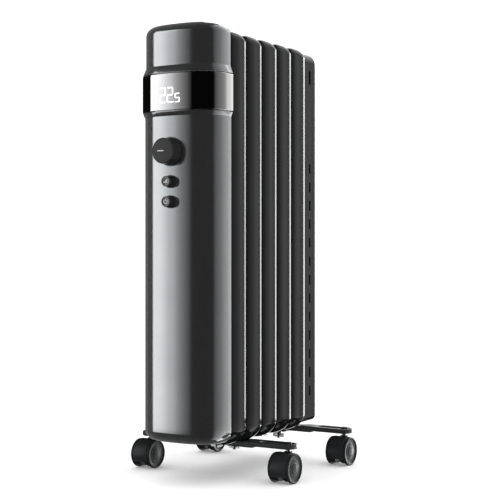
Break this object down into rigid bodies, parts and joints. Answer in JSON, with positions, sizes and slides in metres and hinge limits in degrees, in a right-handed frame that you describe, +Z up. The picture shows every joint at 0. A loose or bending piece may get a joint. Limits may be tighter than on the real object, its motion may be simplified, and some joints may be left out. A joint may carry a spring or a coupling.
{
  "type": "oil filled radiator heater",
  "caption": "Free-standing oil filled column radiator with pressed fins, a control tower with display, turning knob and push buttons, and cross feet on swivel twin-wheel casters.",
  "frame": {"origin": "on the floor, under the centre of the whole heater", "axes": "+Z up, control panel facing -Y, +X to the right as seen from behind"},
  "size_m": [0.2702, 0.3312, 0.64],
  "materials": {
    "graphite_gloss": "smooth dark graphite, satin gloss",
    "lens_black": "smoked black, high gloss",
    "digit_glow": "lit white figures",
    "fin_paint": "dark graphite powder coat, satin",
    "control_black": "black, fine satin",
    "knob_gloss": "black, gloss",
    "steel": "zinc-plated steel",
    "caster_black": "black nylon, satin",
    "board_green": "circuit board",
    "inner_plastic": "natural plastic"
  },
  "bodies": {
    "heater_body": {"tower_shell": "graphite_gloss", "tower_base_plate": "graphite_gloss", "tower_back_plate": "steel", "tower_cap": "graphite_gloss", "display_band": "lens_black", "display_digits": "digit_glow", "display_board": "board_green", "control_board": "board_green", "power_board": "board_green", "rotary_encoder": "steel", "knob_bezel": "knob_gloss", "button_guides": "knob_gloss", "tact_switches": "control_black", "casing_screws": "steel", "cord_gland": "control_black", "tilt_switch": "inner_plastic", "heater_flange": "steel", "heating_element": "steel", "thermal_cutout": "inner_plastic", "thermistor": "steel", "fin_1": "fin_paint", "fin_2": "fin_paint", "fin_3": "fin_paint", "fin_4": "fin_paint", "fin_5": "fin_paint", "rear_fin": "fin_paint", "rear_cover": "fin_paint", "oil_filler_plug": "steel", "oil_collars_top": "fin_paint", "oil_collars_bottom": "fin_paint", "foot_front": "fin_paint", "foot_rear": "fin_paint", "foot_ubolts": "steel", "wing_nuts": "steel", "caster_sockets": "control_black"},
    "knob": {"knob": "knob_gloss", "knob_face": "control_black", "knob_shaft": "steel"},
    "mode_button": {"mode_button": "control_black"},
    "power_button": {"power_button": "control_black"},
    "caster_fr": {"caster_fr_hood": "caster_black", "caster_fr_stem": "steel", "caster_fr_axle": "steel"},
    "caster_fr_wheel_a": {"caster_fr_wheel_a": "caster_black"},
    "caster_fr_wheel_b": {"caster_fr_wheel_b": "caster_black"},
    "caster_fl": {"caster_fl_hood": "caster_black", "caster_fl_stem": "steel", "caster_fl_axle": "steel"},
    "caster_fl_wheel_a": {"caster_fl_wheel_a": "caster_black"},
    "caster_fl_wheel_b": {"caster_fl_wheel_b": "caster_black"},
    "caster_rr": {"caster_rr_hood": "caster_black", "caster_rr_stem": "steel", "caster_rr_axle": "steel"},
    "caster_rr_wheel_a": {"caster_rr_wheel_a": "caster_black"},
    "caster_rr_wheel_b": {"caster_rr_wheel_b": "caster_black"},
    "caster_rl": {"caster_rl_hood": "caster_black", "caster_rl_stem": "steel", "caster_rl_axle": "steel"},
    "caster_rl_wheel_a": {"caster_rl_wheel_a": "caster_black"},
    "caster_rl_wheel_b": {"caster_rl_wheel_b": "caster_black"}
  },
  "joints": [
    {"name": "knob_turn", "type": "hinge", "parent": "heater_body", "child": "knob", "pos_m": [0, -0.1573, 0.4616], "axis": [0, -1, 0], "continuous": true},
    {"name": "mode_button_press", "type": "slide", "parent": "heater_body", "child": "mode_button", "axis": [0, 1, 0], "range_m": [0, 0.002], "stiffness_N_per_m": 600},
    {"name": "power_button_press", "type": "slide", "parent": "heater_body", "child": "power_button", "axis": [0, 1, 0], "range_m": [0, 0.002], "stiffness_N_per_m": 600},
    {"name": "caster_fr_swivel", "type": "hinge", "parent": "heater_body", "child": "caster_fr", "pos_m": [0.1185, -0.02815, 0.045], "axis": [0, 0, 1], "continuous": true},
    {"name": "caster_fr_wheel_a_roll", "type": "hinge", "parent": "caster_fr", "child": "caster_fr_wheel_a", "pos_m": [0.1185, -0.03715, 0.0212], "axis": [1, 0, 0], "continuous": true},
    {"name": "caster_fr_wheel_b_roll", "type": "hinge", "parent": "caster_fr", "child": "caster_fr_wheel_b", "pos_m": [0.1185, -0.03715, 0.0212], "axis": [1, 0, 0], "continuous": true},
    {"name": "caster_fl_swivel", "type": "hinge", "parent": "heater_body", "child": "caster_fl", "pos_m": [-0.1185, -0.02815, 0.045], "axis": [0, 0, 1], "continuous": true},
    {"name": "caster_fl_wheel_a_roll", "type": "hinge", "parent": "caster_fl", "child": "caster_fl_wheel_a", "pos_m": [-0.1185, -0.03715, 0.0212], "axis": [1, 0, 0], "continuous": true},
    {"name": "caster_fl_wheel_b_roll", "type": "hinge", "parent": "caster_fl", "child": "caster_fl_wheel_b", "pos_m": [-0.1185, -0.03715, 0.0212], "axis": [1, 0, 0], "continuous": true},
    {"name": "caster_rr_swivel", "type": "hinge", "parent": "heater_body", "child": "caster_rr", "pos_m": [0.1185, 0.14345, 0.045], "axis": [0, 0, 1], "continuous": true},
    {"name": "caster_rr_wheel_a_roll", "type": "hinge", "parent": "caster_rr", "child": "caster_rr_wheel_a", "pos_m": [0.1185, 0.13445, 0.0212], "axis": [1, 0, 0], "continuous": true},
    {"name": "caster_rr_wheel_b_roll", "type": "hinge", "parent": "caster_rr", "child": "caster_rr_wheel_b", "pos_m": [0.1185, 0.13445, 0.0212], "axis": [1, 0, 0], "continuous": true},
    {"name": "caster_rl_swivel", "type": "hinge", "parent": "heater_body", "child": "caster_rl", "pos_m": [-0.1185, 0.14345, 0.045], "axis": [0, 0, 1], "continuous": true},
    {"name": "caster_rl_wheel_a_roll", "type": "hinge", "parent": "caster_rl", "child": "caster_rl_wheel_a", "pos_m": [-0.1185, 0.13445, 0.0212], "axis": [1, 0, 0], "continuous": true},
    {"name": "caster_rl_wheel_b_roll", "type": "hinge", "parent": "caster_rl", "child": "caster_rl_wheel_b", "pos_m": [-0.1185, 0.13445, 0.0212], "axis": [1, 0, 0], "continuous": true}
  ]
}
